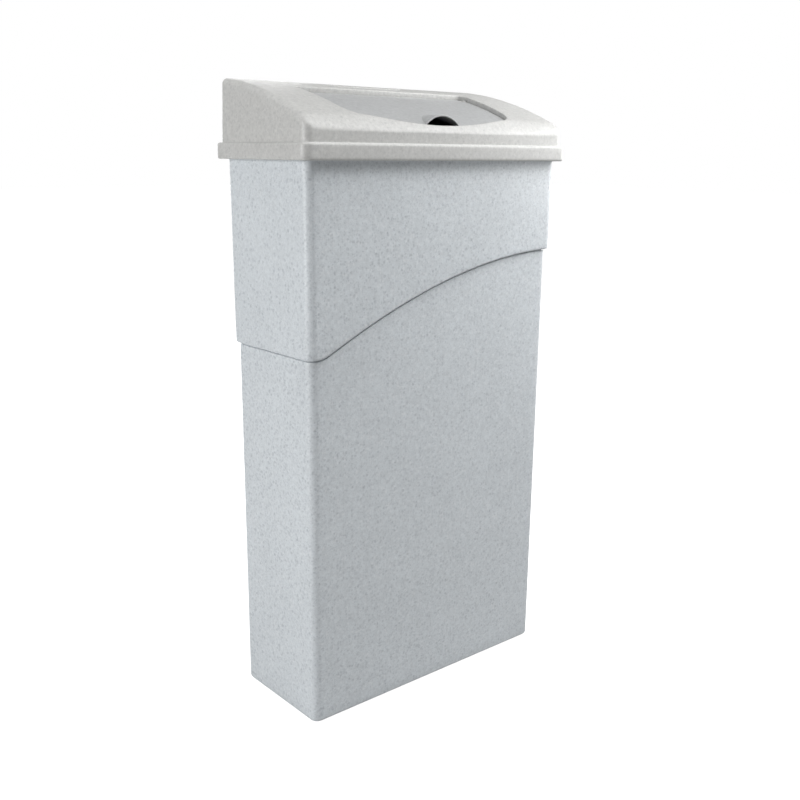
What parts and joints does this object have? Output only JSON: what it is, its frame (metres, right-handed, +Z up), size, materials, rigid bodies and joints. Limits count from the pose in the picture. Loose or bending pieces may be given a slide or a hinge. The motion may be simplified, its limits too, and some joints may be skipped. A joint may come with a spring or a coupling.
{
  "type": "ashtray bin",
  "caption": "Tall slim litter bin with a wave-stepped body, a lift-off sloping lid, a hinged litter flap with an ash mouth, and a sliding ash pan under it.",
  "frame": {"origin": "on the floor under the middle of the bin", "axes": "+Z up, the front with the ash mouth faces -Y, the wide faces run along X"},
  "size_m": [0.4884, 0.2188, 0.9051],
  "materials": {
    "granite_plastic": "speckled granite look, fine grain",
    "warm_granite_plastic": "speckled, warmer and lighter than the body",
    "dark_plastic": "moulded",
    "rubber": "matt",
    "galvanised_steel": "galvanised",
    "stainless_steel": "drawn",
    "nylon": "moulded"
  },
  "bodies": {
    "bin": {"bin_body": "granite_plastic", "bag_ring": "dark_plastic", "foot_pad_1": "rubber", "foot_pad_2": "rubber", "foot_pad_3": "rubber", "foot_pad_4": "rubber"},
    "lid": {"lid_hood": "warm_granite_plastic", "hinge_pin_left": "stainless_steel", "hinge_pin_right": "stainless_steel", "hinge_bush_left": "nylon", "hinge_bush_right": "nylon", "flap_bumper_left": "rubber", "flap_bumper_right": "rubber", "pan_rail_left": "galvanised_steel", "pan_rail_right": "galvanised_steel", "rail_screw_left_1": "stainless_steel", "rail_screw_left_2": "stainless_steel", "rail_screw_right_1": "stainless_steel", "rail_screw_right_2": "stainless_steel"},
    "flap": {"flap": "granite_plastic"},
    "ash_pan": {"ash_pan": "galvanised_steel"}
  },
  "joints": [
    {"name": "lid_lift", "type": "slide", "parent": "bin", "child": "lid", "axis": [0, 0, 1], "range_m": [0, 0.12]},
    {"name": "flap_hinge", "type": "hinge", "parent": "lid", "child": "flap", "pos_m": [0, 0.0326, 0.8834], "axis": [-1, 0, 0], "range_deg": [0, 95]},
    {"name": "ash_pan_slide", "type": "slide", "parent": "lid", "child": "ash_pan", "axis": [0, 1, 0], "range_m": [0, 0.055]}
  ]
}
